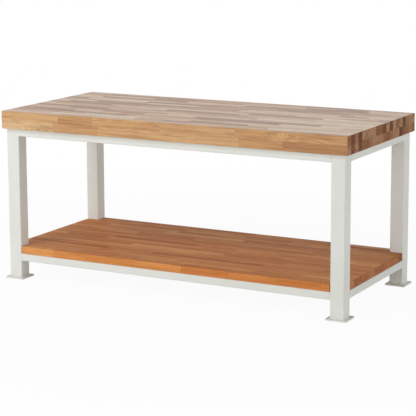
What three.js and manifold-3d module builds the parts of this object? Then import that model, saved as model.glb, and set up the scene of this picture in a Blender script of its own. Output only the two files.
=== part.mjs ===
import * as THREE from 'three';
import { mergeVertices } from 'three/addons/utils/BufferGeometryUtils.js';
import Module from 'manifold-3d';

// Heavy assembly table: a thick beech worktop and a beech shelf on a welded frame of square tube.
// Millimetres, +Z up, +X along the length, front at -Y, origin on the floor under the middle.

// Overall
const tableHeight = 915;
const topLength = 2000;
const topDepth = 900;
const topThickness = 95;
const endOverhang = 18; // worktop past the frame at each end
const sideOverhang = 20; // worktop past the frame at front and rear

// Glued beech boards
const topCorner = 4; // radius of the worktop's upright corners
const topEase = 3; // rounding of its long edges
const shelfTop = 180; // height of the shelf's upper face above the floor
const shelfThickness = 40;
const shelfEase = 2;
const shelfSetback = 1.5; // shelf edge behind the outer faces of the rails
const legClearance = 2; // play of the shelf's cut-outs round the legs

// Legs and foot plates
const legSize = 75;
const legWall = 3;
const legCorner = 6; // outer corner radius of the tube
const plateOverhang = 17.5; // foot plate past the leg on every side
const plateThickness = 8;
const plateCorner = 3;
const anchorDiameter = 10;
const anchorInset = 10; // anchor hole centre from the plate's edges

// Rails
const railSize = 40;
const railWall = 2.5;
const railCorner = 4;
const leastInsideCorner = 0.75; // inner corner radius of a tube whose wall is as thick as its outer radius
const shelfCrossSpacing = 640; // distance between the two cross rails under the shelf

// Fixing plates welded inside the frame, flush with the tops of the rails
const fixingThickness = 6;
const fixingCorner = 8;
const gussetReach = 110; // gusset along each rail, from the leg
const gussetTip = 18; // width left at the gusset's two ends
const gussetHoleInset = 34; // gusset hole centre from the leg, along both rails
const lugLength = 60;
const lugReach = 38;
const lugHoleInset = 19; // lug hole centre from the rail
const topLugSpacing = 900; // distance between the two lugs of a top rail
const shelfLugSpacing = 1160; // distance between the two lugs of a lower rail

// Hex wood screws with a flange under the head
const screwDiameter = 8;
const screwTip = 7;
const flangeDiameter = 18;
const flangeThickness = 1.6;
const headAcrossFlats = 13;
const headHeight = 5.5;
const headChamfer = 1.2;
const topScrewDepth = 54; // screw inside the worktop
const shelfScrewDepth = 26; // screw inside the shelf
const holeClearance = 1; // hole in a fixing plate over the screw's diameter
const pilotClearance = 0.4; // pilot hole in a board over the screw's diameter
const pilotRun = 3; // pilot hole past the screw's tip

// Facets of round surfaces
const cornerFacets = 3; // in a quarter turn of an outline
const easeFacets = 3; // across an eased edge
const screwFacets = 16; // round a screw or its pilot hole
const chamferFacets = 24; // round the chamfer of a screw head
const hexagonSides = 6;

// Sizes that follow
const frameLength = topLength - 2 * endOverhang;
const frameDepth = topDepth - 2 * sideOverhang;
const frameTop = tableHeight - topThickness;
const shelfUnderside = shelfTop - shelfThickness;
const legLength = frameTop - plateThickness;
const legX = (frameLength - legSize) / 2;
const legY = (frameDepth - legSize) / 2;
const railX = (frameLength - railSize) / 2;
const railY = (frameDepth - railSize) / 2;
const longRailLength = frameLength - 2 * legSize;
const endRailLength = frameDepth - 2 * legSize;
const crossRailLength = frameDepth - 2 * railSize;
const innerRailY = frameDepth / 2 - railSize;
const quarterTurn = Math.PI / 2;

const wasm = await Module();
wasm.setup();

const table = new THREE.Group();
table.name = 'assembly_table';

// Finishes
const finishes = {
  beechTop: { color: 0xc8a685, roughness: 0.55, metalness: 0 },
  beechShelf: { color: 0xb47f57, roughness: 0.5, metalness: 0 },
  greyPaint: { color: 0xd6d7d0, roughness: 0.42, metalness: 0 },
  zinc: { color: 0xb9bcbf, roughness: 0.35, metalness: 0.9 },
};

function place(name, geometry, finish, position, rotation = [0, 0, 0]) {
  const mesh = new THREE.Mesh(geometry, new THREE.MeshStandardMaterial(finishes[finish]));
  mesh.name = name;
  mesh.position.set(...position);
  mesh.rotation.set(...rotation);
  table.add(mesh);
}

// Joining and cutting closed meshes
function toSolid(geometry) {
  const bare = geometry.index ? geometry.toNonIndexed() : geometry.clone();
  bare.deleteAttribute('normal');
  bare.deleteAttribute('uv');
  const merged = mergeVertices(bare);
  const vertProperties = merged.attributes.position.array;
  const triVerts = new Uint32Array(merged.index.array);
  return new wasm.Manifold(new wasm.Mesh({ numProp: 3, vertProperties, triVerts }));
}

function toGeometry(solid) {
  const { vertProperties, triVerts } = solid.getMesh();
  const indexed = new THREE.BufferGeometry();
  indexed.setAttribute('position', new THREE.BufferAttribute(new Float32Array(vertProperties), 3));
  indexed.setIndex(new THREE.BufferAttribute(new Uint32Array(triVerts), 1));
  const geometry = indexed.toNonIndexed();
  geometry.computeVertexNormals();
  return geometry;
}

// Outlines
function roundedRectangle(path, width, depth, radius) {
  const x = width / 2 - radius;
  const y = depth / 2 - radius;
  path.absarc(x, y, radius, 0, quarterTurn);
  path.absarc(-x, y, radius, quarterTurn, 2 * quarterTurn);
  path.absarc(-x, -y, radius, 2 * quarterTurn, 3 * quarterTurn);
  path.absarc(x, -y, radius, 3 * quarterTurn, 4 * quarterTurn);
  path.closePath();
  return path;
}

function roundHole(x, y, diameter) {
  const hole = new THREE.Path();
  for (let quarter = 0; quarter < 4; quarter += 1) {
    hole.absarc(x, y, diameter / 2, quarter * quarterTurn, (quarter + 1) * quarterTurn);
  }
  return hole;
}

// A flat plate that lies on z = 0
function plate(shape, thickness) {
  return new THREE.ExtrudeGeometry(shape, {
    depth: thickness,
    bevelEnabled: false,
    curveSegments: cornerFacets,
  });
}

// A square tube open at both ends, along Z, centred on its length
function squareTube(size, wall, corner, length) {
  const section = roundedRectangle(new THREE.Shape(), size, size, corner);
  const inside = size - 2 * wall;
  const insideCorner = Math.max(corner - wall, leastInsideCorner);
  section.holes.push(roundedRectangle(new THREE.Path(), inside, inside, insideCorner));
  return plate(section, length).translate(0, 0, -length / 2);
}

// A board with eased edges that lies on z = 0
function easedBoard(shape, thickness, ease) {
  const board = new THREE.ExtrudeGeometry(shape, {
    depth: thickness - 2 * ease,
    bevelThickness: ease,
    bevelSize: ease,
    bevelOffset: -ease,
    bevelSegments: easeFacets,
    curveSegments: cornerFacets,
  });
  return board.translate(0, 0, ease);
}

// Blind holes for wood screws, bored into the underside of a board
function withPilotHoles(board, screwPlaces, depth) {
  const radius = (screwDiameter + pilotClearance) / 2;
  const bore = 2 * (depth + pilotRun);
  let solid = toSolid(board);
  for (const [x, y] of screwPlaces) {
    const bit = new THREE.CylinderGeometry(radius, radius, bore, screwFacets);
    bit.rotateX(quarterTurn).translate(x, y, 0);
    solid = solid.subtract(toSolid(bit));
  }
  return toGeometry(solid);
}

// The four corners of the frame, each turned so that its local +X and +Y run inwards along the rails
const corners = [
  { name: 'front_left', x: -1, y: -1, turn: 0 },
  { name: 'front_right', x: 1, y: -1, turn: quarterTurn },
  { name: 'rear_right', x: 1, y: 1, turn: 2 * quarterTurn },
  { name: 'rear_left', x: -1, y: 1, turn: 3 * quarterTurn },
];
const sides = [
  { name: 'front', y: -1 },
  { name: 'rear', y: 1 },
];
const ends = [
  { name: 'left', x: -1 },
  { name: 'right', x: 1 },
];

// Screws sit in the middle of every gusset and lug
const gussetHole = legSize + gussetHoleInset;
const gussetScrews = corners.map(({ name, x, y }) => ({
  name,
  at: [x * (frameLength / 2 - gussetHole), y * (frameDepth / 2 - gussetHole)],
}));

function lugScrews(spacing) {
  return sides.flatMap((side) => ends.map((end) => ({
    name: `${side.name}_${end.name}`,
    side,
    at: [end.x * spacing / 2, side.y * (innerRailY - lugHoleInset)],
  })));
}

const topLugScrews = lugScrews(topLugSpacing);
const shelfLugScrews = lugScrews(shelfLugSpacing);

// Worktop
function worktop() {
  const outline = roundedRectangle(new THREE.Shape(), topLength, topDepth, topCorner);
  const screwPlaces = [...gussetScrews, ...topLugScrews].map((screw) => screw.at);
  return withPilotHoles(easedBoard(outline, topThickness, topEase), screwPlaces, topScrewDepth);
}

place('worktop', worktop(), 'beechTop', [0, 0, frameTop]);

// Shelf, cut out at its corners round the legs
function shelf() {
  const x = frameLength / 2 - shelfSetback;
  const y = frameDepth / 2 - shelfSetback;
  const notchX = frameLength / 2 - legSize - legClearance;
  const notchY = frameDepth / 2 - legSize - legClearance;
  const outline = new THREE.Shape();
  outline.moveTo(notchX, -y);
  outline.lineTo(notchX, -notchY);
  outline.lineTo(x, -notchY);
  outline.lineTo(x, notchY);
  outline.lineTo(notchX, notchY);
  outline.lineTo(notchX, y);
  outline.lineTo(-notchX, y);
  outline.lineTo(-notchX, notchY);
  outline.lineTo(-x, notchY);
  outline.lineTo(-x, -notchY);
  outline.lineTo(-notchX, -notchY);
  outline.lineTo(-notchX, -y);
  outline.closePath();
  const screwPlaces = shelfLugScrews.map((screw) => screw.at);
  return withPilotHoles(easedBoard(outline, shelfThickness, shelfEase), screwPlaces, shelfScrewDepth);
}

place('shelf', shelf(), 'beechShelf', [0, 0, shelfUnderside]);

// Legs on their foot plates
function footPlate() {
  const plateSize = legSize + 2 * plateOverhang;
  const reach = plateSize / 2 - anchorInset;
  const outline = roundedRectangle(new THREE.Shape(), plateSize, plateSize, plateCorner);
  for (const { x, y } of corners) {
    outline.holes.push(roundHole(x * reach, y * reach, anchorDiameter));
  }
  return plate(outline, plateThickness);
}

for (const { name, x, y } of corners) {
  const leg = squareTube(legSize, legWall, legCorner, legLength);
  place(`leg_${name}`, leg, 'greyPaint', [x * legX, y * legY, plateThickness + legLength / 2]);
  place(`foot_plate_${name}`, footPlate(), 'greyPaint', [x * legX, y * legY, 0]);
}

// Rails between the legs, flush with their outer faces, under the worktop and under the shelf
function rail(length) {
  return squareTube(railSize, railWall, railCorner, length);
}

const alongX = [0, quarterTurn, 0];
const alongY = [quarterTurn, 0, 0];
const levels = [
  { name: 'top_rail', z: frameTop - railSize / 2 },
  { name: 'lower_rail', z: shelfUnderside - railSize / 2 },
];

for (const level of levels) {
  for (const side of sides) {
    const at = [0, side.y * railY, level.z];
    place(`${level.name}_${side.name}`, rail(longRailLength), 'greyPaint', at, alongX);
  }
  for (const end of ends) {
    const at = [end.x * railX, 0, level.z];
    place(`${level.name}_${end.name}`, rail(endRailLength), 'greyPaint', at, alongY);
  }
}

// Cross rails that carry the middle of each board
const [topLevel, lowerLevel] = levels;
place('top_cross_rail', rail(crossRailLength), 'greyPaint', [0, 0, topLevel.z], alongY);
for (const end of ends) {
  const at = [end.x * shelfCrossSpacing / 2, 0, lowerLevel.z];
  place(`shelf_cross_rail_${end.name}`, rail(crossRailLength), 'greyPaint', at, alongY);
}

// Gusset in a top corner: it fits round the leg and runs along both rails to a blunt tip
function gusset() {
  const far = legSize + gussetReach;
  const tip = railSize + gussetTip;
  const outline = new THREE.Shape();
  outline.moveTo(legSize, railSize);
  outline.lineTo(far, railSize);
  outline.lineTo(far, tip);
  outline.lineTo(tip, far);
  outline.lineTo(railSize, far);
  outline.lineTo(railSize, legSize);
  outline.lineTo(legSize, legSize);
  outline.closePath();
  outline.holes.push(roundHole(gussetHole, gussetHole, screwDiameter + holeClearance));
  return plate(outline, fixingThickness);
}

for (const { name, x, y, turn } of corners) {
  const at = [x * frameLength / 2, y * frameDepth / 2, frameTop - fixingThickness];
  place(`corner_gusset_${name}`, gusset(), 'greyPaint', at, [0, 0, turn]);
}

// Lug on the inside of a long rail: square where it is welded on, rounded at its free corners
function lug() {
  const half = lugLength / 2;
  const outline = new THREE.Shape();
  outline.moveTo(-half, 0);
  outline.lineTo(half, 0);
  outline.absarc(half - fixingCorner, lugReach - fixingCorner, fixingCorner, 0, quarterTurn);
  outline.absarc(fixingCorner - half, lugReach - fixingCorner, fixingCorner, quarterTurn, 2 * quarterTurn);
  outline.closePath();
  outline.holes.push(roundHole(0, lugHoleInset, screwDiameter + holeClearance));
  return plate(outline, fixingThickness);
}

function placeLugs(prefix, screws, underside) {
  for (const { name, side, at } of screws) {
    const turn = side.y < 0 ? 0 : 2 * quarterTurn;
    const position = [at[0], side.y * innerRailY, underside - fixingThickness];
    place(`${prefix}_${name}`, lug(), 'greyPaint', position, [0, 0, turn]);
  }
}

placeLugs('worktop_lug', topLugScrews, frameTop);
placeLugs('shelf_lug', shelfLugScrews, shelfUnderside);

// Wood screw, pointing up, with the seat of its flange at z = 0 and the hexagon below it
function woodScrew(depth) {
  const shank = screwDiameter / 2;
  const flange = flangeDiameter / 2;
  const length = fixingThickness + depth;
  const profile = [
    [0, -flangeThickness],
    [flange, -flangeThickness],
    [flange, 0],
    [shank, 0],
    [shank, length - screwTip],
    [0, length],
  ].map(([radius, z]) => new THREE.Vector2(radius, z));
  const body = new THREE.LatheGeometry(profile, screwFacets).rotateX(quarterTurn);

  const hexRadius = headAcrossFlats / Math.sqrt(3);
  const headEnd = -flangeThickness - headHeight;
  const sunk = flangeThickness / 2;
  const hexagon = new THREE.CylinderGeometry(hexRadius, hexRadius, headHeight + sunk, hexagonSides);
  hexagon.rotateX(quarterTurn).translate(0, 0, headEnd + (headHeight + sunk) / 2);
  const cone = [
    [0, headEnd],
    [hexRadius - headChamfer, headEnd],
    [hexRadius + headChamfer, headEnd + 2 * headChamfer],
    [hexRadius + headChamfer, 0],
    [0, 0],
  ].map(([radius, z]) => new THREE.Vector2(radius, z));
  const chamfer = new THREE.LatheGeometry(cone, chamferFacets).rotateX(quarterTurn);
  const head = toSolid(hexagon).intersect(toSolid(chamfer));
  return toGeometry(toSolid(body).add(head));
}

function placeScrews(prefix, screws, depth, underside) {
  for (const { name, at } of screws) {
    place(`${prefix}_${name}`, woodScrew(depth), 'zinc', [...at, underside - fixingThickness]);
  }
}

placeScrews('worktop_corner_screw', gussetScrews, topScrewDepth, frameTop);
placeScrews('worktop_lug_screw', topLugScrews, topScrewDepth, frameTop);
placeScrews('shelf_lug_screw', shelfLugScrews, shelfScrewDepth, shelfUnderside);

export default table;
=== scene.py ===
import math
import bpy
import bmesh
import numpy as np
from mathutils import Matrix, Vector


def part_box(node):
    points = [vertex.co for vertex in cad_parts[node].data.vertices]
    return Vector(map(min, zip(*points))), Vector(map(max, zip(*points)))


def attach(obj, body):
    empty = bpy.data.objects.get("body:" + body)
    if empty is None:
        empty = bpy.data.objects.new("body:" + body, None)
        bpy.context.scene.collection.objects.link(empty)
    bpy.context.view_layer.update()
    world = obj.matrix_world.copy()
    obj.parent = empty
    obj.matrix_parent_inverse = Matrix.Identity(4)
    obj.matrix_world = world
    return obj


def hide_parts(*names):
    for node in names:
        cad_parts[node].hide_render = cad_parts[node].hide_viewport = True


# Heavy assembly table in metres: +X along the length, front at -Y, floor at z = 0
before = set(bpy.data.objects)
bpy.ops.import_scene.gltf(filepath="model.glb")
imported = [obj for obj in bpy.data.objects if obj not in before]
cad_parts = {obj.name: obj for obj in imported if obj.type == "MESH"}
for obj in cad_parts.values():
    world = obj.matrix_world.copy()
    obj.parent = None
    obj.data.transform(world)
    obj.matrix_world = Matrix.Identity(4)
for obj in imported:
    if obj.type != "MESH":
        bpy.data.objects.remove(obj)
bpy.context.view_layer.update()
corners = ("front_left", "front_right", "rear_right", "rear_left")
lugPlaces = ("front_left", "front_right", "rear_left", "rear_right")
print("frame loaded:", len(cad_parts), "nodes")


# Meshes

def addMesh(name, points, quads, finish, sharpAngle=35, closeUp=False):
    # points (n, 3) and quads (m, 4) go into the mesh as whole arrays
    mesh = bpy.data.meshes.new(name)
    points = np.asarray(points, np.float32)
    quads = np.asarray(quads, np.int32)
    used, flat = np.unique(quads.ravel(), return_inverse=True)
    mesh.vertices.add(len(used))
    mesh.vertices.foreach_set("co", points[used].ravel())
    mesh.loops.add(quads.size)
    mesh.loops.foreach_set("vertex_index", flat.astype(np.int32).ravel())
    mesh.polygons.add(len(quads))
    mesh.polygons.foreach_set("loop_start", np.arange(0, quads.size, 4, dtype=np.int32))
    mesh.polygons.foreach_set("use_smooth", np.ones(len(quads), bool))
    mesh.update(calc_edges=True)
    mesh.validate()
    if closeUp:
        closeMesh(mesh)
    mesh.set_sharp_from_angle(angle=math.radians(sharpAngle))
    return addPiece(name, mesh, finish)


def closeMesh(mesh, mergeGap=2e-6):
    # merges poles and seams, caps open ends and turns all faces outwards
    work = bmesh.new()
    work.from_mesh(mesh)
    bmesh.ops.remove_doubles(work, verts=work.verts, dist=mergeGap)
    bmesh.ops.holes_fill(work, edges=[edge for edge in work.edges if edge.is_boundary])
    bmesh.ops.recalc_face_normals(work, faces=work.faces)
    for face in work.faces:
        face.smooth = True
    work.to_mesh(mesh)
    work.free()


def addPiece(name, mesh, finish):
    mesh.materials.clear()
    mesh.materials.append(finish)
    piece = bpy.data.objects.new(name, mesh)
    bpy.context.scene.collection.objects.link(piece)
    evenNormals = piece.modifiers.new("even normals", "WEIGHTED_NORMAL")
    evenNormals.keep_sharp = True
    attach(piece, "root")
    return piece


def gridQuads(rows, columns, closed):
    # quads of a grid of rows x columns points, the last column joined to the first where it is closed
    index = np.arange(rows * columns).reshape(rows, columns)
    if closed:
        index = np.concatenate([index, index[:, :1]], 1)
    return np.stack([index[:-1, :-1], index[:-1, 1:], index[1:, 1:], index[1:, :-1]], -1).reshape(-1, 4)


def roundedLoop(halfX, halfY, radius, steps):
    # rectangle with quarter circles at its corners, anticlockwise, with the outward normal of every point
    turn = np.linspace(0, math.pi / 2, steps + 1)
    angles = (turn[None, :] + np.arange(4)[:, None] * math.pi / 2).ravel()
    normals = np.stack([np.cos(angles), np.sin(angles)], 1)
    signX = np.repeat([1, -1, -1, 1], steps + 1)
    signY = np.repeat([1, 1, -1, -1], steps + 1)
    centres = np.stack([signX * (halfX - radius), signY * (halfY - radius)], 1)
    return centres + radius * normals, normals


# Materials

class Nodes:
    # the node tree of a material or of the world, with short calls for the nodes that this table needs
    def __init__(self, owner, shaderName="Principled BSDF"):
        owner.use_nodes = True
        self.owner = owner
        self.tree = owner.node_tree
        self.shader = self.tree.nodes[shaderName]

    def add(self, kind, inputs=(), **settings):
        node = self.tree.nodes.new(kind)
        for key, value in settings.items():
            setattr(node, key, value)
        for key, value in dict(inputs).items():
            self.feed(node.inputs[key], value)
        return node

    def feed(self, socket, value):
        if isinstance(value, bpy.types.NodeSocket):
            self.tree.links.new(value, socket)
        else:
            socket.default_value = value

    def math(self, operation, a, b=0.0):
        return self.add("ShaderNodeMath", {0: a, 1: b}, operation=operation).outputs[0]

    def remap(self, value, low, high, outLow=0.0, outHigh=1.0):
        inputs = {"Value": value, "From Min": low, "From Max": high, "To Min": outLow, "To Max": outHigh}
        return self.add("ShaderNodeMapRange", inputs, interpolation_type="SMOOTHSTEP").outputs[0]

    def mix(self, factor, a, b, blend="MIX"):
        node = self.add("ShaderNodeMix", data_type="RGBA", blend_type=blend)
        self.feed(node.inputs["Factor"], factor)
        self.feed(node.inputs["A"], a)
        self.feed(node.inputs["B"], b)
        return node.outputs["Result"]

    def noise(self, vector, scale, detail=2.0, roughness=0.5):
        inputs = {"Vector": vector, "Scale": scale, "Detail": detail, "Roughness": roughness}
        return self.add("ShaderNodeTexNoise", inputs).outputs[0]

    def stretch(self, vector, scale):
        return self.add("ShaderNodeVectorMath", {0: vector, 1: scale}, operation="MULTIPLY").outputs[0]

    def shift(self, vector, way):
        return self.add("ShaderNodeVectorMath", {0: vector, 1: way}, operation="ADD").outputs[0]

    def attribute(self, name):
        return self.add("ShaderNodeAttribute", attribute_name=name)

    def ramp(self, value, stops):
        node = self.add("ShaderNodeValToRGB", {"Fac": value})
        node.color_ramp.elements.remove(node.color_ramp.elements[1])
        for number, (place, colour) in enumerate(stops):
            element = node.color_ramp.elements[0] if number == 0 else node.color_ramp.elements.new(place)
            element.position = place
            element.color = colour
        return node.outputs["Color"]

    def bump(self, height, distance, strength):
        inputs = {"Height": height, "Distance": distance, "Strength": strength}
        return self.add("ShaderNodeBump", inputs).outputs[0]


def colour(red, green, blue):
    # screen colour, 0 to 255, to the linear colour that a shader takes
    screen = np.array([red, green, blue]) / 255
    linear = np.where(screen <= 0.04045, screen / 12.92, ((screen + 0.055) / 1.055) ** 2.4)
    return (*linear.tolist(), 1.0)


def beechFinish(name, settings):
    # solid beech: rings round a pith that lies beside each stave and leans a little, fibres and short
    # flecks along X, so that long faces show streaks and flames, and ends show arcs
    n = Nodes(bpy.data.materials.new(name))
    place = n.add("ShaderNodeTexCoord").outputs["Object"]
    tone = n.attribute("staveTone").outputs["Fac"]
    size = n.add("ShaderNodeSeparateXYZ", {0: n.attribute("staveSize").outputs["Vector"]})
    uv = n.add("ShaderNodeSeparateXYZ", {0: n.add("ShaderNodeUVMap", uv_map="staveUv").outputs[0]})
    lean = n.stretch(n.attribute("staveLean").outputs["Vector"], uv.outputs["X"])
    local = n.shift(n.shift(place, n.attribute("stavePith").outputs["Vector"]), lean)

    def grain(scale, detail, roughness=0.5):
        return n.noise(n.stretch(local, settings[scale]), 1.0, detail, roughness)

    def stain(wood, amount, layer):
        return n.mix(amount, wood, settings[layer + "Colour"], "MULTIPLY")

    sway = grain("swayScale", 2.0)
    split = n.add("ShaderNodeSeparateXYZ", {0: local})
    drift = n.math("MULTIPLY", n.math("SUBTRACT", sway, 0.5), settings["ringSway"])
    acrossY = n.math("ADD", split.outputs["Y"], drift)
    acrossZ = n.math("ADD", split.outputs["Z"], drift)
    radius = n.math("SQRT", n.math("ADD", n.math("POWER", acrossY, 2.0), n.math("POWER", acrossZ, 2.0)))
    wave = n.math("FRACT", n.math("MULTIPLY", radius, 1 / settings["ringSpacing"]))
    ring = n.math("MULTIPLY", n.remap(wave, *settings["ringRise"]), n.remap(wave, *settings["ringFall"]))

    fibre = grain("fibreScale", 3.0, 0.6)
    streak = grain("streakScale", 4.0, 0.65)
    fleck = n.remap(grain("fleckScale", 1.0), *settings["fleckRange"])

    wood = n.ramp(tone, settings["tones"])
    wood = stain(wood, n.math("MULTIPLY", ring, settings["ringDepth"]), "ring")
    wood = stain(wood, n.remap(streak, *settings["streakRange"], 0.0, settings["streakDepth"]), "streak")
    wood = stain(wood, n.remap(fibre, *settings["fibreRange"], 0.0, settings["fibreDepth"]), "fibre")
    wood = stain(wood, n.math("MULTIPLY", fleck, settings["fleckDepth"]), "fleck")

    # faint glue line round every stave, from the distances to its edges
    along = n.math("MINIMUM", uv.outputs["X"], n.math("SUBTRACT", size.outputs["X"], uv.outputs["X"]))
    across = n.math("MINIMUM", uv.outputs["Y"], n.math("SUBTRACT", size.outputs["Y"], uv.outputs["Y"]))
    glue = n.remap(n.math("MINIMUM", along, across), settings["glueWidth"], 0.0)
    wood = stain(wood, n.math("MULTIPLY", glue, settings["glueDepth"]), "glue")

    sunk = n.math("ADD", n.math("MULTIPLY", fleck, settings["fleckSink"]), glue)
    height = n.math("SUBTRACT", fibre, sunk)
    pores = n.math("ADD", fibre, n.math("MULTIPLY", streak, settings["streakPores"]))
    rough = n.remap(pores, *settings["poreRange"], *settings["roughness"])
    n.feed(n.shader.inputs["Base Color"], wood)
    n.feed(n.shader.inputs["Roughness"], rough)
    n.feed(n.shader.inputs["Normal"], n.bump(height, settings["bump"], settings["bumpStrength"]))
    n.shader.inputs["Specular IOR Level"].default_value = settings["specular"]
    if settings["oil"]:
        # dark staves and streaks drink more of the oil and shine less
        oil = n.remap(tone, 0.0, 1.0, *settings["oil"])
        dry = n.remap(streak, *settings["streakRange"], 1.0, settings["dryStreak"])
        n.feed(n.shader.inputs["Coat Weight"], n.math("MULTIPLY", oil, dry))
        n.shader.inputs["Coat Roughness"].default_value = settings["oilRoughness"]
    return n.owner


def paintFinish(name, settings):
    # powder coat: fine orange peel, slow changes of tone and gloss
    n = Nodes(bpy.data.materials.new(name))
    place = n.add("ShaderNodeTexCoord").outputs["Object"]
    peel = n.noise(place, settings["peelScale"], 2.0, 0.55)
    fine = n.noise(place, settings["fineScale"], 2.0, 0.6)
    cloud = n.noise(place, settings["cloudScale"], 3.0)
    specks = n.remap(fine, *settings["speckRange"], 0.0, settings["speckDepth"])
    paint = n.mix(n.remap(cloud, *settings["cloudRange"]), settings["colour"], settings["cloudColour"])
    paint = n.mix(specks, paint, settings["speckColour"])
    height = n.math("ADD", peel, n.math("MULTIPLY", fine, settings["fineRelief"]))
    n.feed(n.shader.inputs["Base Color"], paint)
    n.feed(n.shader.inputs["Roughness"], n.remap(cloud, *settings["cloudRange"], *settings["roughness"]))
    n.feed(n.shader.inputs["Normal"], n.bump(height, settings["bump"], settings["bumpStrength"]))
    n.shader.inputs["Specular IOR Level"].default_value = settings["specular"]
    return n.owner


def zincFinish(name, settings):
    # zinc plating: brushed by tumbling, with faint yellow and blue patches
    n = Nodes(bpy.data.materials.new(name))
    place = n.add("ShaderNodeTexCoord").outputs["Object"]
    patch = n.noise(place, settings["patchScale"], 3.0)
    scratch = n.noise(n.stretch(place, settings["scratchScale"]), 1.0, 2.0)
    rough = n.remap(scratch, *settings["scratchRange"], *settings["roughness"])
    n.feed(n.shader.inputs["Base Color"], n.ramp(patch, settings["tones"]))
    n.feed(n.shader.inputs["Roughness"], rough)
    n.feed(n.shader.inputs["Normal"], n.bump(scratch, settings["bump"], settings["bumpStrength"]))
    n.shader.inputs["Metallic"].default_value = 1.0
    return n.owner


topFinish = {
    "tones": (
        (0.0, colour(156, 108, 66)), (0.15, colour(175, 125, 71)), (0.35, colour(193, 146, 89)),
        (0.6, colour(205, 160, 101)), (0.85, colour(213, 175, 121)), (1.0, colour(220, 195, 145)),
    ),
    # how close the noise lies along, across and up the stave, and the part of it that shows
    "swayScale": (2.2, 9.0, 9.0), "fibreScale": (14.0, 900.0, 900.0),
    "streakScale": (2.8, 62.0, 62.0), "fleckScale": (260.0, 1900.0, 1900.0),
    "fibreRange": (0.4, 0.75), "streakRange": (0.35, 0.75), "fleckRange": (0.62, 0.72),
    "ringSpacing": 0.0052, "ringSway": 0.03, "ringRise": (0.25, 0.9), "ringFall": (1.0, 0.94),
    "ringDepth": 0.42, "ringColour": colour(206, 170, 128),
    "streakDepth": 0.7, "streakColour": colour(188, 152, 120),
    "fibreDepth": 0.4, "fibreColour": colour(204, 172, 140),
    "fleckDepth": 0.5, "fleckColour": colour(170, 124, 92), "fleckSink": 0.6,
    "glueWidth": 0.0006, "glueDepth": 0.6, "glueColour": colour(150, 108, 78),
    "streakPores": 0.5, "poreRange": (0.4, 1.1), "roughness": (0.42, 0.6),
    "bump": 0.00012, "bumpStrength": 0.6, "specular": 0.65,
    # oil of the darkest and of the palest stave, and the share left on streaks
    "oil": (0.5, 1.0), "dryStreak": 0.7, "oilRoughness": 0.36,
}
shelfFinish = dict(
    topFinish,
    tones=(
        (0.0, colour(176, 102, 52)), (0.25, colour(206, 131, 71)), (0.55, colour(219, 148, 83)),
        (0.8, colour(228, 162, 96)), (1.0, colour(236, 184, 122)),
    ),
    streakDepth=0.45, oil=None, specular=0.2, roughness=(0.55, 0.7),
)
# ends drink the oil: darker, matt, and some of them much darker
topEndFinish = dict(
    topFinish,
    tones=(
        (0.0, colour(112, 74, 54)), (0.25, colour(144, 102, 74)), (0.6, colour(164, 124, 93)),
        (0.85, colour(178, 142, 110)), (1.0, colour(188, 156, 124)),
    ),
    ringDepth=0.8, oil=None, specular=0.15, roughness=(0.65, 0.8),
)
shelfEndFinish = dict(
    topEndFinish,
    tones=(
        (0.0, colour(146, 92, 60)), (0.25, colour(178, 118, 78)), (0.6, colour(194, 134, 90)),
        (0.85, colour(206, 148, 104)), (1.0, colour(214, 164, 120)),
    ),
)
paintSettings = {
    "colour": colour(217, 218, 212), "cloudColour": colour(213, 214, 207), "cloudScale": 3.0,
    "cloudRange": (0.3, 0.7), "speckColour": colour(205, 206, 199), "speckRange": (0.55, 0.8),
    "speckDepth": 0.35, "peelScale": 420.0, "fineScale": 2100.0, "fineRelief": 0.25,
    "roughness": (0.4, 0.5), "bump": 0.00008, "bumpStrength": 0.5, "specular": 0.45,
}
zincSettings = {
    "tones": ((0.3, colour(196, 200, 206)), (0.5, colour(206, 206, 204)), (0.7, colour(214, 206, 186))),
    "patchScale": 90.0, "scratchScale": (3000.0, 3000.0, 400.0), "scratchRange": (0.3, 0.7),
    "roughness": (0.25, 0.45), "bump": 0.00003, "bumpStrength": 0.4,
}
beechTop = beechFinish("oiled beech, worktop", topFinish)
beechShelf = beechFinish("oiled beech, shelf", shelfFinish)
beechTopEnd = beechFinish("beech end grain, worktop", topEndFinish)
beechShelfEnd = beechFinish("beech end grain, shelf", shelfEndFinish)
greyPaint = paintFinish("light grey powder coat", paintSettings)
zinc = zincFinish("zinc plating", zincSettings)
print("finishes made")


# Glued beech boards

staveCut = {
    # a row's first stave is cut to a share of its length, its last is at least a third of the least length
    "firstShare": (0.3, 1.0), "shortestPart": 3,
    # where a stave's pith may lie: along X, aside, and above or below
    "pithShift": 4.0, "pithAside": 0.09, "pithAway": (0.02, 0.11),
}
worktopBoard = {
    "node": "worktop", "ease": 0.003, "corner": 0.004, "arcSteps": 4,
    "staveWidth": 0.045, "layers": (0.0, 0.048, 0.095), "staveLength": (0.16, 0.6), "seed": 11,
    "toneSpread": 0.65, "lean": 0.02,
    # front row of each layer from below: where its staves end, from the left, and how pale they are
    "frontEnds": ((0.11, 0.33, 0.6, 1.19, 1.42, 1.66), (0.36, 0.57, 0.97, 1.4, 1.56, 1.75)),
    "frontTones": ((0.9, 0.9, 0.5, 0.7, 0.8, 0.4, 0.2), (0.7, 0.4, 0.6, 0.7, 0.5, 0.6, 0.4)),
    # flames on the front: layer, stave, lean of its grain, distance and height of its pith
    "frontFlames": ((1, 5, 0.26, 0.012, -0.012), (0, 1, 0.12, 0.02, 0.016), (1, 2, 0.03, 0.014, -0.02)),
}
shelfBoard = {
    "node": "shelf", "ease": 0.002, "corner": 0.003, "arcSteps": 3,
    "staveWidth": 0.043, "layers": (0.0, 0.04), "staveLength": (0.22, 0.66), "seed": 23,
    "toneSpread": 2.4, "lean": 0.02, "legClearance": 0.002,
}


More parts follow.
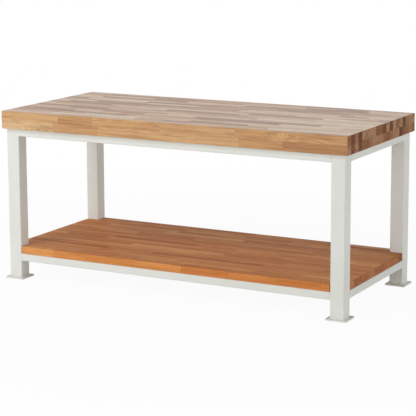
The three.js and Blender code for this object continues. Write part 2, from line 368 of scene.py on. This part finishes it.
def staveEnds(low, high, lengths, rows, draw):
    # ends of the staves of every row: a random first piece, then random lengths until the board is crossed
    count = int((high - low) / lengths[0]) + 2
    pieces = draw.uniform(*lengths, (rows, count))
    pieces[:, 0] *= draw.uniform(*staveCut["firstShare"], rows)
    ends = low + np.cumsum(pieces, 1)
    ends[ends > high - lengths[0] / staveCut["shortestPart"]] = high
    return np.concatenate([np.full((rows, 1), low), ends], 1)


def edgeBand(wall, radius, steps):
    # lines close to a wall, spaced so that they fall evenly round its rounded corner
    return wall - radius * (1 - np.tan(np.linspace(0, math.pi / 4, steps + 1)))[::-1]


def insetLines(lines, walls, radius, inset):
    # moves the lines at each wall inwards by the inset and fades that out one radius away
    walls = np.sort(walls)
    keys = np.stack([walls - radius, walls, walls + radius], 1).ravel()
    moved = np.stack([walls - radius, walls - inset, walls + radius], 1).ravel()
    return np.sign(lines) * np.interp(np.abs(lines), np.append(0.0, keys), np.append(0.0, moved))


def glueBoard(settings, wallsX, wallsY, roundCorners, isInside, finish, endFinish):
    # the plan's lattice of stave lines, carried up a profile whose edges are quarter rounds: the height of
    # a level is ease * (1 - cos turn), its inset ease * (1 - sin turn); corners in plan become arcs
    low, high = (np.array(corner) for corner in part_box(settings["node"]))
    middle = (low + high) / 2
    half = (high - low) / 2
    draw = np.random.default_rng(settings["seed"])
    radius, ease, steps = settings["corner"], settings["ease"], settings["arcSteps"]

    # staves: rows across Y, layers up Z, ends along X
    layers = np.array(settings["layers"])
    rows = int(round(2 * half[1] / settings["staveWidth"]))
    rowLines = np.linspace(-half[1], half[1], rows + 1)
    layerCount = len(layers) - 1
    ends = np.stack([
        staveEnds(-half[0], half[0], settings["staveLength"], rows, draw) for _ in range(layerCount)
    ])
    tones = draw.beta(settings["toneSpread"], settings["toneSpread"], ends.shape)
    front = zip(settings.get("frontEnds", ()), settings.get("frontTones", ()))
    for layer, (places, pale) in enumerate(front):
        ends[layer, 0, 1:] = half[0]
        ends[layer, 0, 1:len(places) + 1] = np.array(places) - half[0]
        tones[layer, 0, :len(pale)] = pale
    rowMiddles = ((rowLines[1:] + rowLines[:-1]) / 2)[None, :, None] + middle[1]
    layerMiddles = ((layers[1:] + layers[:-1]) / 2)[:, None, None] + low[2]
    shift, aside = staveCut["pithShift"], staveCut["pithAside"]
    pith = np.stack([
        draw.uniform(-shift, shift, ends.shape), draw.uniform(-aside, aside, ends.shape) - rowMiddles,
        draw.uniform(*staveCut["pithAway"], ends.shape) * draw.choice([-1, 1], ends.shape) - layerMiddles,
    ], -1)
    lean = draw.normal(0, settings["lean"], (*ends.shape, 3)) * np.array([0, 1, 1])
    for layer, stave, slope, distance, height in settings.get("frontFlames", ()):
        lean[layer, 0, stave] = (0, slope, 0)
        pith[layer, 0, stave, 1] = half[1] - middle[1] + distance
        pith[layer, 0, stave, 2] = height - layerMiddles[layer, 0, 0]

    # lattice lines and the cells inside the outline; lines next to a wall give way to its band
    bandsX = np.concatenate([edgeBand(wall, radius, steps) for wall in wallsX])
    bandsY = np.concatenate([edgeBand(wall, radius, steps) for wall in wallsY])
    nearX = np.min(np.abs(np.abs(ends.ravel())[:, None] - np.array(wallsX)), 1) < 2 * radius
    nearY = np.min(np.abs(np.abs(rowLines)[:, None] - np.array(wallsY)), 1) < 2 * radius
    linesX = np.unique(np.round(np.concatenate([ends.ravel()[~nearX], bandsX, -bandsX]), 7))
    linesY = np.unique(np.round(np.concatenate([rowLines[~nearY], bandsY, -bandsY]), 7))
    cellX = (linesX[:-1] + linesX[1:]) / 2
    cellY = (linesY[:-1] + linesY[1:]) / 2
    inside = isInside(cellX[:, None], cellY[None, :])

    # levels from the underside to the top
    turn = np.linspace(0, math.pi / 2, steps + 1)
    rise, step = ease * (1 - np.cos(turn)), ease * (1 - np.sin(turn))
    thickness = 2 * half[2]
    heights = np.concatenate([rise, layers[1:-1], thickness - rise[::-1]])
    insets = np.concatenate([step, np.zeros(layerCount - 1), step[::-1]])

    reach = radius * 1.01  # a little past the corner's own lines

    def levelPoints(height, inset):
        x = insetLines(linesX, np.array(wallsX), radius, inset)[:, None] + 0 * linesY[None, :]
        y = insetLines(linesY, np.array(wallsY), radius, inset)[None, :] + 0 * linesX[:, None]
        for cornerX, cornerY in roundCorners:
            offX = np.abs(x) - (cornerX - radius)
            offY = np.abs(y) - (cornerY - radius)
            hit = (offX > 0) & (offY > 0) & (offX < reach) & (offY < reach)
            pull = np.where(hit, np.maximum(offX, offY) / np.maximum(np.hypot(offX, offY), 1e-9), 1)
            x = np.where(hit, np.sign(x) * (cornerX - radius + offX * pull), x)
            y = np.where(hit, np.sign(y) * (cornerY - radius + offY * pull), y)
        z = np.full(x.shape, height)
        return np.stack([x, y, z], -1).reshape(-1, 3)

    points = np.concatenate([levelPoints(h, i) for h, i in zip(heights, insets)])
    columns = len(linesY)
    perLevel = len(linesX) * columns
    lattice = np.arange(perLevel).reshape(len(linesX), columns)
    a, b, c, d = lattice[:-1, :-1], lattice[1:, :-1], lattice[1:, 1:], lattice[:-1, 1:]
    topQuads = np.stack([a, b, c, d], -1)[inside] + perLevel * (len(heights) - 1)
    underQuads = np.stack([a, d, c, b], -1)[inside]

    # walls stand on the lattice edges that have the board on one side only
    padded = np.pad(inside, 1).astype(int)
    stepY = padded[1:-1, 1:] - padded[1:-1, :-1]
    stepX = padded[1:, 1:-1] - padded[:-1, 1:-1]
    edges = np.concatenate([
        np.stack([lattice[:-1], lattice[1:]], -1)[stepY == 1],
        np.stack([lattice[1:], lattice[:-1]], -1)[stepY == -1],
        np.stack([lattice[:, :-1], lattice[:, 1:]], -1)[stepX == -1],
        np.stack([lattice[:, 1:], lattice[:, :-1]], -1)[stepX == 1],
    ])
    base = np.arange(len(heights) - 1)[:, None] * perLevel
    start, stop = edges[:, 0][None, :] + base, edges[:, 1][None, :] + base
    wallQuads = np.stack([start, stop, stop + perLevel, start + perLevel], -1).reshape(-1, 4)
    quads = np.concatenate([underQuads, wallQuads, topQuads])
    points = points + np.array([middle[0], middle[1], low[2]])
    piece = addMesh(settings["node"] + "_board", points, quads, finish)

    # every face belongs to the stave under its middle
    flat = np.stack([np.repeat(linesX, columns), np.tile(linesY, len(linesX))], -1)[quads % perLevel]
    level = heights[quads // perLevel]
    centre = flat.mean(1)
    row = np.clip(np.searchsorted(rowLines, centre[:, 1]) - 1, 0, rows - 1)
    layer = np.clip(np.searchsorted(layers, level.mean(1)) - 1, 0, layerCount - 1)
    number = (ends[layer, row] <= centre[:, :1]).sum(1) - 1
    last = ends.shape[2] - 1
    startX = ends[layer, row, number]
    length = ends[layer, row, np.minimum(number + 1, last)] - startX
    isFlat = (quads // perLevel).max(1) == (quads // perLevel).min(1)
    isEnd = ~isFlat & (np.ptp(flat[..., 0], 1) < 1e-6)
    width = np.where(isFlat, rowLines[1] - rowLines[0], layers[layer + 1] - layers[layer])
    alongX = flat[..., 0] - startX[:, None]
    acrossY = flat[..., 1] - rowLines[row][:, None]
    acrossZ = level - layers[layer][:, None]
    along = np.where(isEnd[:, None], acrossY, alongX)
    across = np.where(isFlat[:, None], acrossY, acrossZ)
    length = np.where(isEnd, rowLines[1] - rowLines[0], length)

    mesh = piece.data
    mesh.attributes.new("staveTone", "FLOAT", "FACE").data.foreach_set(
        "value", tones[layer, row, number].astype(np.float32))
    vectors = {
        "stavePith": pith[layer, row, number], "staveLean": lean[layer, row, number],
        "staveSize": np.stack([length, width, 0 * width], -1),
    }
    for name, values in vectors.items():
        mesh.attributes.new(name, "FLOAT_VECTOR", "FACE").data.foreach_set(
            "vector", values.astype(np.float32).ravel())
    mesh.materials.append(endFinish)
    mesh.polygons.foreach_set("material_index", isEnd.astype(np.int32))
    mesh.uv_layers.new(name="staveUv").data.foreach_set(
        "uv", np.stack([along, across], -1).astype(np.float32).ravel())
    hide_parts(settings["node"])
    print(settings["node"], "board:", rows, "rows,", len(quads), "quads")


def makeWorktop():
    low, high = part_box("worktop")
    halfX, halfY = (high.x - low.x) / 2, (high.y - low.y) / 2

    def everywhere(x, y):
        return np.ones(np.broadcast_shapes(x.shape, y.shape), bool)

    glueBoard(worktopBoard, [halfX], [halfY], [(halfX, halfY)], everywhere,
              beechTop, beechTopEnd)


def makeShelf():
    low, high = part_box("shelf")
    legLow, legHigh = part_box("leg_front_right")
    halfX, halfY = (high.x - low.x) / 2, (high.y - low.y) / 2
    notchX = legLow.x - shelfBoard["legClearance"]
    notchY = -legHigh.y - shelfBoard["legClearance"]

    def clearOfLegs(x, y):
        return (np.abs(x) < notchX) | (np.abs(y) < notchY)

    roundCorners = [(notchX, halfY), (halfX, notchY)]
    glueBoard(shelfBoard, [notchX, halfX], [notchY, halfY], roundCorners, clearOfLegs,
              beechShelf, beechShelfEnd)


makeWorktop()
makeShelf()


# Square tubes

legTube = {"wall": 0.003, "corner": 0.006, "arcSteps": 8, "sharpAngle": 50}
railTube = {"wall": 0.0025, "corner": 0.004, "arcSteps": 8, "sharpAngle": 50}
crossRails = ("top_cross_rail", "shelf_cross_rail_left", "shelf_cross_rail_right")


def tubePiece(node, axis, settings):
    # a ring of two rounded squares, outside and inside, carried straight along one axis of the node's box
    low, high = (np.array(corner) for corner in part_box(node))
    others = [(axis + 1) % 3, (axis + 2) % 3]
    half = (high - low)[others] / 2
    corner, wall, steps = settings["corner"], settings["wall"], settings["arcSteps"]
    outer, _ = roundedLoop(*half, corner, steps)
    inner, _ = roundedLoop(*(half - wall), corner - wall, steps)
    section = np.stack([inner, outer, outer, inner, inner])
    heights = np.array([low[axis], low[axis], high[axis], high[axis], low[axis]])
    points = np.zeros((*section.shape[:2], 3))
    points[..., others] = section + ((low + high) / 2)[others]
    points[..., axis] = heights[:, None]
    rings, count = section.shape[:2]
    lastRing = (rings - 1) * count
    quads = gridQuads(rings, count, True)
    quads = np.where(quads >= lastRing, quads - lastRing, quads)  # the last ring is the first one again
    piece = addMesh(node + "_tube", points.reshape(-1, 3), quads, greyPaint,
                    settings["sharpAngle"], closeUp=True)
    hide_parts(node)


def makeTubes():
    for corner in corners:
        tubePiece("leg_" + corner, 2, legTube)
    for level in ("top_rail_", "lower_rail_"):
        for side in ("front", "rear"):
            tubePiece(level + side, 0, railTube)
        for side in ("left", "right"):
            tubePiece(level + side, 1, railTube)
    for node in crossRails:
        tubePiece(node, 1, railTube)
    print("tubes made")


makeTubes()


# Flat plates

plateShape = {
    "easedWidths": {
        "foot_plate_": 0.0007, "corner_gusset_": 0.0006, "worktop_lug_": 0.0006, "shelf_lug_": 0.0006,
    },
    "segments": 2, "easedFrom": 50, "flatBelow": 1, "mergeGap": 1e-6,
}


def easedPlate(node, width):
    # the CAD outline with one face a side, and a narrow bevel along its edges
    s = plateShape
    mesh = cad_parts[node].data.copy()
    work = bmesh.new()
    work.from_mesh(mesh)
    bmesh.ops.remove_doubles(work, verts=work.verts, dist=s["mergeGap"])
    flat = math.radians(s["flatBelow"])
    flatEdges = [e for e in work.edges if len(e.link_faces) == 2 and e.calc_face_angle() < flat]
    bmesh.ops.dissolve_edges(work, edges=flatEdges, use_verts=False)
    for face in work.faces:
        face.smooth = True
    work.to_mesh(mesh)
    work.free()
    mesh.name = node + "_plate"
    piece = addPiece(node + "_plate", mesh, greyPaint)
    piece.modifiers.clear()
    ease = piece.modifiers.new("eased edges", "BEVEL")
    ease.width = width
    ease.segments = s["segments"]
    ease.limit_method = "ANGLE"
    ease.angle_limit = math.radians(s["easedFrom"])
    piece.modifiers.new("even normals", "WEIGHTED_NORMAL")
    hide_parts(node)


def makePlates():
    for prefix, width in plateShape["easedWidths"].items():
        for place in (corners if prefix in ("foot_plate_", "corner_gusset_") else lugPlaces):
            easedPlate(prefix + place, width)
    print("plates made")


makePlates()


# Hex wood screws

screwShape = {
    "shank": 0.004, "core": 0.0029, "pitch": 0.0036, "tip": 0.007, "flange": 0.009, "flangeEdge": 0.0005,
    "flangeThickness": 0.0016, "acrossFlats": 0.013, "headHeight": 0.0055, "chamfer": 0.0012,
    "plainShank": 0.012, "flank": 0.22, "sides": 36, "turnSteps": 9, "sharpAngle": 30,
}


def screwPiece(node):
    # radius as a function of the angle and of the way along the profile: a hexagon cut by a cone on the
    # head, a round flange, a plain shank, and a thread whose ridge climbs with the angle
    s = screwShape
    low, high = (np.array(corner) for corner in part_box(node))
    seat = low[2] + s["headHeight"] + s["flangeThickness"]
    angle = np.linspace(0, 2 * math.pi, s["sides"], endpoint=False)
    hexagon = s["acrossFlats"] / 2 / np.cos((angle % (math.pi / 3)) - math.pi / 6)
    across = s["acrossFlats"] / math.sqrt(3)
    under = seat - s["flangeThickness"]

    headRows = np.array([
        (0.0, low[2]), (across - s["chamfer"], low[2]), (across, low[2] + s["chamfer"]), (across, under),
    ])
    headRadius = headRows[:, :1]
    isOuter = headRadius > across - 2 * s["chamfer"]
    head = np.minimum(headRadius, np.where(isOuter, hexagon[None, :], headRadius))

    edge = s["flangeEdge"]
    flangeRows = np.array([
        (s["flange"] - edge, under), (s["flange"], under + edge), (s["flange"], seat), (s["shank"], seat),
        (s["shank"], seat + s["plainShank"]),
    ])
    threadHeights = np.arange(seat + s["plainShank"], high[2], s["pitch"] / s["turnSteps"])[1:]
    climb = (threadHeights[:, None] / s["pitch"] - angle[None, :] / (2 * math.pi)) % 1
    ridge = np.clip(1 - np.abs(climb - 0.5) / s["flank"], 0, 1)
    taper = np.clip((high[2] - threadHeights) / s["tip"], 0, 1)[:, None]
    thread = (s["core"] + (s["shank"] - s["core"]) * ridge) * taper

    flange = np.repeat(flangeRows[:, :1], s["sides"], 1)
    radius = np.concatenate([head, flange, thread, np.zeros((1, s["sides"]))])
    height = np.concatenate([headRows[:, 1], flangeRows[:, 1], threadHeights, high[2:]])
    centre = (low + high) / 2
    points = np.stack([
        centre[0] + radius * np.cos(angle), centre[1] + radius * np.sin(angle),
        np.repeat(height[:, None], s["sides"], 1),
    ], -1)
    quads = gridQuads(len(height), s["sides"], True)
    piece = addMesh(node + "_threaded", points.reshape(-1, 3), quads, zinc,
                    s["sharpAngle"], closeUp=True)
    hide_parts(node)


def makeScrews():
    for corner in corners:
        screwPiece("worktop_corner_screw_" + corner)
    for place in lugPlaces:
        screwPiece("worktop_lug_screw_" + place)
        screwPiece("shelf_lug_screw_" + place)
    print("screws made")


makeScrews()


# Weld beads

weldShape = {
    "footLeg": 0.0045, "railLeg": 0.0035, "fixingLeg": 0.0032, "ripple": 0.0036, "rippleDepth": 0.1,
    "unevenness": 0.06, "bulge": 0.4, "sunk": 0.0003, "profileSteps": 6, "cornerSteps": 6,
    "stepsPerRipple": 5, "leastSteps": 8, "fadeLength": 0.004, "endScale": 0.12, "sharpAngle": 60,
    "clearOfGusset": 0.01, "clearOfShelf": 0.004,
    "seeds": {
        "foot": 100, "gusset": 200, "rail": 300, "crossRail": 400, "worktopLug": 500, "shelfLug": 520,
    },
    "flushProud": 0.0004, "flushUnevenness": 0.15, "flushSeed": 50,
    # plan section of the weld that fills the groove at a leg's rounded corner: way along the rail, depth
    "flushCap": ((-0.0025, 0.0013), (-0.0017, 0.0014), (-0.0008, 0.0015), (0.0, 0.0016), (0.0003, 0.0016)),
    "flushRoot": ((0.0004, 0.0022), (0.0, 0.0052), (-0.0024, 0.0034), (-0.003, 0.0018)),
}


def evenSteps(line, normals, closed):
    # the path's points and normals again, at even distances fit to the ripple
    if closed:
        line = np.concatenate([line, line[:1]])
        normals = np.concatenate([normals, normals[:1]])
    reach = np.append(0.0, np.cumsum(np.linalg.norm(np.diff(line, axis=0), axis=1)))
    count = int(reach[-1] / weldShape["ripple"] * weldShape["stepsPerRipple"])
    count = max(count, weldShape["leastSteps"])
    places = np.linspace(0, reach[-1], count + 1)
    if closed:
        places = places[:-1]

    def pick(values):
        return np.stack([np.interp(places, reach, values[:, axis]) for axis in range(3)], 1)

    turned = pick(normals)
    return pick(line), turned / np.linalg.norm(turned, axis=1)[:, None], places, reach[-1]


def weldBead(line, normals, upWall, leg, closed, seed):
    # fillet in the corner between a wall and a plate: its profile bulges between a point on the wall and
    # one on the plate, and is carried along the wall's outline, swelling with each ripple; open ends shrink
    s = weldShape
    line, normals, places, total = evenSteps(np.asarray(line, float), np.asarray(normals, float), closed)
    waves = max(round(total / s["ripple"]), 1)
    phase = places / total * waves
    draw = np.random.default_rng(seed)
    strays = np.append(draw.normal(0, s["unevenness"], waves), 0.0)
    uneven = np.interp(phase, np.arange(waves + 1), strays)
    swell = 1 + s["rippleDepth"] * (2 * np.abs(np.sin(math.pi * phase)) - 1) + uneven
    if not closed:
        swell *= np.clip(np.minimum(places, total - places) / s["fadeLength"], s["endScale"], 1)
    turn = np.linspace(0, math.pi / 2, s["profileSteps"])
    share = np.linspace(0, 1, s["profileSteps"])
    wall = np.append((1 - s["bulge"]) * (1 - share) + s["bulge"] * np.cos(turn), -s["sunk"] / leg)
    plate = np.append((1 - s["bulge"]) * share + s["bulge"] * np.sin(turn), -s["sunk"] / leg)
    size = leg * swell[:, None, None]
    points = line[:, None, :] + size * (wall[None, :, None] * np.asarray(upWall)
                                        + plate[None, :, None] * normals[:, None, :])
    rows, columns = points.shape[:2]
    quads = gridQuads(rows, columns, True)
    if closed:
        here = np.arange(columns)
        after = np.roll(here, -1)
        lastRow = (rows - 1) * columns
        wrap = np.stack([here + lastRow, after + lastRow, after, here], 1)
        quads = np.concatenate([quads, wrap])
    return points.reshape(-1, 3), quads


def weldPiece(name, beads):
    # several beads as one mesh
    offsets = np.cumsum([0] + [len(points) for points, _ in beads])
    points = np.concatenate([bead[0] for bead in beads])
    quads = np.concatenate([bead[1] + offset for bead, offset in zip(beads, offsets)])
    addMesh(name, points, quads, greyPaint, weldShape["sharpAngle"], closeUp=True)


def footWeld(corner, seed):
    # one closed bead round the leg's outline, on its foot plate
    low, high = (np.array(point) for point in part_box("leg_" + corner))
    loop, normals = roundedLoop(*((high - low)[:2] / 2), legTube["corner"], legTube["arcSteps"])
    line = np.column_stack([loop + ((low + high) / 2)[:2], np.full(len(loop), low[2])])
    flat = np.column_stack([normals, np.zeros(len(loop))])
    weldPiece("foot_weld_" + corner, [weldBead(line, flat, (0, 0, 1), weldShape["footLeg"], True, seed)])


def railWelds(node, axis, inward, topGap, seed):
    # at both ends: down the inner side, round the corner and along the underside
    low, high = (np.array(point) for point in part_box(node))
    across = 1 - axis
    half, corner = (high[2] - low[2]) / 2, railTube["corner"]
    middle = (low + high) / 2
    turn = np.linspace(0, -math.pi / 2, weldShape["cornerSteps"] + 1)
    side = np.concatenate([[half], half - corner + corner * np.cos(turn), [corner - half]])
    level = np.concatenate([[half - topGap], corner - half + corner * np.sin(turn), [-half]])
    sideNormal = np.concatenate([[1], np.cos(turn), [0]])
    levelNormal = np.concatenate([[0], np.sin(turn), [-1]])
    beads = []
    for end, place in ((-1, low[axis]), (1, high[axis])):
        line = np.zeros((len(side), 3))
        normals = np.zeros((len(side), 3))
        line[:, axis] = place
        line[:, across] = middle[across] + inward * side
        line[:, 2] = middle[2] + level
        normals[:, across] = inward * sideNormal
        normals[:, 2] = levelNormal
        upWall = np.zeros(3)
        upWall[axis] = -end
        beads.append(weldBead(line, normals, upWall, weldShape["railLeg"], False, seed + end))
        outer = low[across] if inward > 0 else high[across]
        heights = (low[2] + corner, high[2] - corner)
        beads.append(flushWeld(axis, place, end, outer, inward, heights, seed + end))
    weldPiece(node + "_welds", beads)


def flushWeld(axis, place, end, outer, inward, heights, seed):
    # fills the groove between the leg's rounded corner and the rail's end: a plan section, whose outer side
    # bulges a little with each ripple, carried straight up
    s = weldShape
    waves = max(round((heights[1] - heights[0]) / s["ripple"]), 1)
    z = np.linspace(*heights, waves * s["stepsPerRipple"] + 1)
    phase = np.linspace(0, waves, len(z))
    draw = np.random.default_rng(seed + s["flushSeed"])
    uneven = np.interp(phase, np.arange(waves + 1), draw.normal(0, s["flushUnevenness"], waves + 1))
    proud = s["flushProud"] * (np.abs(np.sin(math.pi * phase)) + uneven)
    share = np.linspace(-1, 1, len(s["flushCap"]))
    cap = np.array(s["flushCap"])
    root = np.array(s["flushRoot"])
    along = np.append(cap[:, 0], root[:, 0])[None, :] + 0 * z[:, None]
    crown = np.append(1 - share ** 2, 0 * root[:, 0])
    depth = np.append(cap[:, 1], root[:, 1])[None, :] - proud[:, None] * crown
    points = np.zeros((*along.shape, 3))
    points[..., axis] = place - end * along
    points[..., 1 - axis] = outer + inward * depth
    points[..., 2] = z[:, None]
    return points.reshape(-1, 3), gridQuads(len(z), along.shape[1], True)


def crossRailWelds(node, seed):
    # two upright beads at each end, against the inner faces of the long rails
    low, high = (np.array(point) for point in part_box(node))
    corner, leg = railTube["corner"], weldShape["railLeg"]
    beads = []
    for end, y in ((-1, low[1]), (1, high[1])):
        for side, x in ((-1, low[0]), (1, high[0])):
            line = np.array([(x, y, high[2] - corner), (x, y, low[2] + corner)])
            normals = np.array([(side, 0, 0)] * 2)
            beads.append(weldBead(line, normals, (0, -end, 0), leg, False, seed + 2 * end + side))
    weldPiece(node + "_welds", beads)


def lugWeld(node, seed):
    # one bead under the lug, along the rail's inner face
    low, high = (np.array(point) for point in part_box(node))
    inward = 1 if low[1] < 0 else -1
    y = low[1] if inward > 0 else high[1]
    line = np.array([(low[0], y, low[2]), (high[0], y, low[2])])
    normals = np.array([(0, inward, 0)] * 2)
    leg = weldShape["fixingLeg"]
    weldPiece(node + "_weld", [weldBead(line, normals, (0, 0, -1), leg, False, seed)])


def gussetWelds(corner, seed):
    # two beads under the gusset, along both rails, from the leg to the gusset's tips
    low, high = (np.array(point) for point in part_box("corner_gusset_" + corner))
    legLow, legHigh = (np.array(point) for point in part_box("leg_" + corner))
    inX = 1 if low[0] < 0 else -1
    inY = 1 if low[1] < 0 else -1
    rootX, farX = (low[0], high[0]) if inX > 0 else (high[0], low[0])
    rootY, farY = (low[1], high[1]) if inY > 0 else (high[1], low[1])
    legX = legHigh[0] if inX > 0 else legLow[0]
    legY = legHigh[1] if inY > 0 else legLow[1]
    z = low[2]
    alongX = np.array([(legX, rootY, z), (farX, rootY, z)])
    alongY = np.array([(rootX, legY, z), (rootX, farY, z)])
    leg = weldShape["fixingLeg"]
    weldPiece("corner_gusset_" + corner + "_welds", [
        weldBead(alongX, np.array([(0, inY, 0)] * 2), (0, 0, -1), leg, False, seed),
        weldBead(alongY, np.array([(inX, 0, 0)] * 2), (0, 0, -1), leg, False, seed + 1),
    ])


def makeWelds():
    seeds = weldShape["seeds"]
    for number, corner in enumerate(corners):
        footWeld(corner, seeds["foot"] + number)
        gussetWelds(corner, seeds["gusset"] + 2 * number)
    levels = (("top_rail_", weldShape["clearOfGusset"]), ("lower_rail_", weldShape["clearOfShelf"]))
    sides = (("front", 0, 1), ("rear", 0, -1), ("left", 1, 1), ("right", 1, -1))
    for number, (level, topGap) in enumerate(levels):
        for side, axis, inward in sides:
            seed = seeds["rail"] + 40 * number + 8 * axis + 3 * inward
            railWelds(level + side, axis, inward, topGap, seed)
    for number, node in enumerate(crossRails):
        crossRailWelds(node, seeds["crossRail"] + 10 * number)
    for number, place in enumerate(lugPlaces):
        lugWeld("worktop_lug_" + place, seeds["worktopLug"] + number)
        lugWeld("shelf_lug_" + place, seeds["shelfLug"] + number)
    print("welds made")


makeWelds()


# Floor, light and camera

stage = {
    "floorSize": 120.0, "floorDrop": 0.0004, "floorColour": colour(246, 246, 246), "floorRoughness": 0.9,
    "fadeStart": 1.2, "fadeEnd": 4.0, "floorGlow": 0.95,
    "sideLight": 1.22, "overheadLight": 0.2, "sideRise": 0.22, "overheadRise": 0.65,
    # name, place, aim, width and height, watts
    "lamps": (
        ("key light", (-2.4, -8.2, 0.9), (0.0, 0.0, 0.5), (3.0, 1.4), 138.0),
        ("upper light", (-2.6, -4.4, 5.0), (0.0, 0.0, 0.5), (3.0, 1.4), 128.0),
        ("side light", (8.0, -2.0, 0.6), (0.0, 0.0, 0.5), (4.0, 1.6), 104.0),
    ),
}
view = {
    "place": (3.8649, -7.2281, 2.0572), "yaw": 28.08, "pitch": 9.93, "roll": -0.22,
    "focalPixels": 1564.5, "imagePixels": 416, "sensor": 36.0, "shiftY": -0.1,
}


def makeFloor():
    # pale floor that keeps the shadow near the table and fades to plain white further out
    size = stage["floorSize"] / 2
    mesh = bpy.data.meshes.new("floor")
    drop = stage["floorDrop"]
    outline = np.array([(-1, -1), (1, -1), (1, 1), (-1, 1)]) * size
    mesh.from_pydata([(x, y, -drop) for x, y in outline.tolist()], [], [(0, 1, 2, 3)])
    floor = bpy.data.objects.new("floor", mesh)
    bpy.context.scene.collection.objects.link(floor)
    n = Nodes(bpy.data.materials.new("pale floor"))
    n.shader.inputs["Base Color"].default_value = stage["floorColour"]
    n.shader.inputs["Roughness"].default_value = stage["floorRoughness"]
    n.shader.inputs["Specular IOR Level"].default_value = 0.0
    place = n.add("ShaderNodeTexCoord").outputs["Object"]
    away = n.add("ShaderNodeVectorMath", {0: place}, operation="LENGTH").outputs["Value"]
    path = n.add("ShaderNodeLightPath")
    seen = n.math("MAXIMUM", path.outputs["Is Camera Ray"], path.outputs["Is Glossy Ray"])
    glow = n.remap(away, stage["fadeStart"], stage["fadeEnd"], stage["floorGlow"], 1.0)
    faded = n.math("MULTIPLY", seen, glow)
    white = n.add("ShaderNodeEmission").outputs[0]
    blend = n.add("ShaderNodeMixShader", {0: faded, 1: n.shader.outputs[0], 2: white})
    n.tree.links.new(blend.outputs[0], n.tree.nodes["Material Output"].inputs["Surface"])
    mesh.materials.append(n.owner)


def makeLight():
    # soft light all round, stronger from the sides than from above; seen directly or mirrored it is plain
    # white, and the oiled top mirrors only that, not the lamps
    world = bpy.data.worlds.new("studio")
    bpy.context.scene.world = world
    n = Nodes(world, "Background")
    direction = n.add("ShaderNodeSeparateXYZ", {0: n.add("ShaderNodeTexCoord").outputs["Generated"]})
    rise = n.math("ABSOLUTE", direction.outputs["Z"])
    level = n.remap(rise, stage["sideRise"], stage["overheadRise"],
                    stage["sideLight"], stage["overheadLight"])
    path = n.add("ShaderNodeLightPath")
    seen = n.math("MAXIMUM", path.outputs["Is Camera Ray"], path.outputs["Is Transmission Ray"])
    seen = n.math("MAXIMUM", seen, path.outputs["Is Glossy Ray"])
    n.shader.inputs["Color"].default_value = (1, 1, 1, 1)
    unseen = n.math("SUBTRACT", 1.0, seen)
    n.feed(n.shader.inputs["Strength"], n.math("ADD", seen, n.math("MULTIPLY", unseen, level)))
    for name, place, target, size, power in stage["lamps"]:
        lamp = bpy.data.lights.new(name, "AREA")
        lamp.shape = "RECTANGLE"
        lamp.size, lamp.size_y = size
        lamp.energy = power
        holder = bpy.data.objects.new(name, lamp)
        holder.visible_glossy = False
        bpy.context.scene.collection.objects.link(holder)
        towards = Vector(target) - Vector(place)
        holder.location = place
        holder.rotation_euler = towards.to_track_quat("-Z", "Y").to_euler()


def makeCamera():
    # yaw turns the view about Z, pitch tips it down, roll turns it about its own axis
    yaw, pitch, roll = (math.radians(view[key]) for key in ("yaw", "pitch", "roll"))
    level = math.cos(pitch)
    forward = np.array([-math.sin(yaw) * level, math.cos(yaw) * level, -math.sin(pitch)])
    right = np.array([math.cos(yaw), math.sin(yaw), 0.0])
    up = np.cross(right, forward)
    rolledRight = math.cos(roll) * right + math.sin(roll) * up
    rolledUp = math.cos(roll) * up - math.sin(roll) * right
    turn = Matrix(np.stack([rolledRight, rolledUp, -forward], 1).tolist())
    lens = bpy.data.cameras.new("camera")
    lens.sensor_width = view["sensor"]
    lens.lens = view["focalPixels"] * view["sensor"] / view["imagePixels"]
    lens.shift_y = view["shiftY"]
    camera = bpy.data.objects.new("camera", lens)
    camera.matrix_world = Matrix.Translation(view["place"]) @ turn.to_4x4()
    bpy.context.scene.collection.objects.link(camera)
    bpy.context.scene.camera = camera


makeFloor()
makeLight()
makeCamera()
bpy.context.scene.view_settings.view_transform = "Standard"
print("stage, light and camera made")
